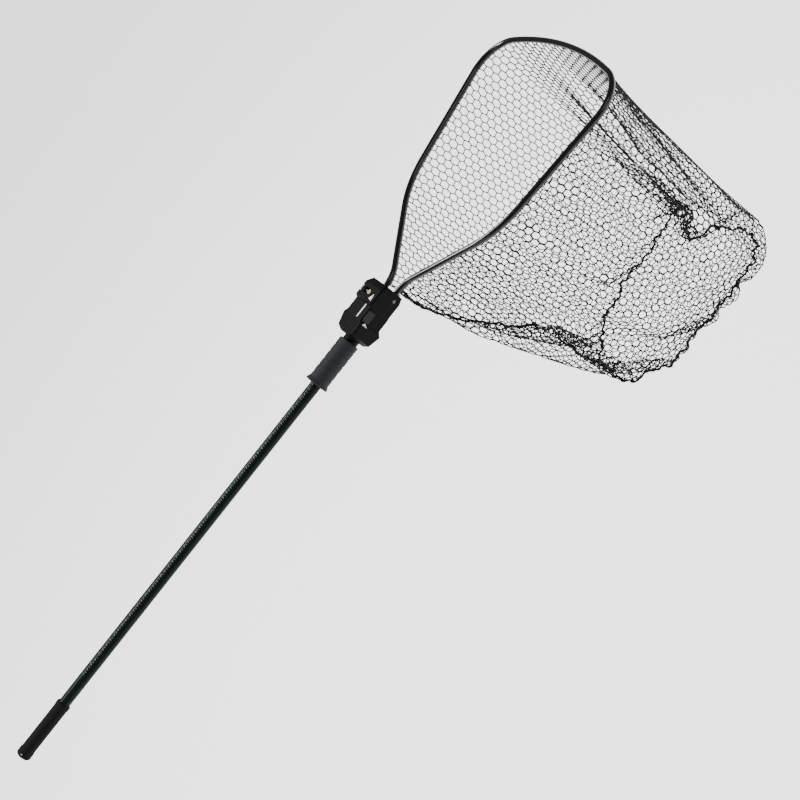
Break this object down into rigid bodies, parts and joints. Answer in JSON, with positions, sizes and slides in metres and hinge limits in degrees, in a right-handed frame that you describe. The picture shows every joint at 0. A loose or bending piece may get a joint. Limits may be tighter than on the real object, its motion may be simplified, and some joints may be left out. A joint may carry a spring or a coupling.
{
  "type": "landing net",
  "caption": "Landing net: teardrop tube hoop with a deep knotless mesh bag, moulded yoke with brake and release button, and a tube handle that slides through it.",
  "frame": {"origin": "on the handle's axis, in the middle of the bare tube between the two grips, net extended", "axes": "+X along the handle towards the hoop's tip, +Z out of the hoop's mouth, away from the bag"},
  "size_m": [1.8158, 0.4974, 0.6358],
  "materials": {
    "tube_paint": "satin green-black anodised",
    "hoop_paint": "gloss black powder coat",
    "foam": "matt foam",
    "grip_rubber": "matt moulded rubber",
    "yoke_plastic": "fine textured black",
    "button_plastic": "satin",
    "bush_plastic": "smooth",
    "steel": "zinc plated",
    "brass": "satin",
    "aluminium": "satin",
    "net_twine": "rubber coated twine",
    "cord": "braided cord"
  },
  "bodies": {
    "handle": {"handle_tube": "tube_paint", "front_stop": "yoke_plastic", "rear_grip": "foam", "butt_cap": "foam", "butt_rivet": "aluminium"},
    "head": {"grip_sleeve": "yoke_plastic", "front_grip": "grip_rubber", "rear_bush": "bush_plastic", "front_bush": "bush_plastic", "yoke_upper": "yoke_plastic", "yoke_lower": "yoke_plastic", "shell_screws": "steel", "leg_screws": "steel", "cross_bolt": "steel", "bolt_nut": "brass", "hoop_tube": "hoop_paint", "net_wall": "net_twine", "net_base": "net_twine", "rim_cord": "cord", "throat_cord": "cord", "base_lacing": "cord", "side_lacing": "cord", "rim_knot": "cord"},
    "button": {"release_button": "button_plastic"},
    "lock": {"lock_plunger": "steel", "cross_pin": "steel", "brake_shoe": "brass", "plunger_spring": "steel"}
  },
  "joints": [
    {"name": "handle_slide", "type": "slide", "parent": "handle", "child": "head", "axis": [1, 0, 0], "range_m": [-0.515, 0]},
    {"name": "button_press", "type": "slide", "parent": "head", "child": "button", "axis": [0, 1, 0], "range_m": [0, 0.0027], "stiffness_N_per_m": 2000, "springref_m": -0.002},
    {"name": "lock_lift", "type": "slide", "parent": "head", "child": "lock", "axis": [0, 0, 1], "range_m": [0, 0.0027], "deforming": ["plunger_spring"]}
  ],
  "couplings": [
    {"joint": "lock_lift", "follows": "button_press", "ratio": 1}
  ]
}
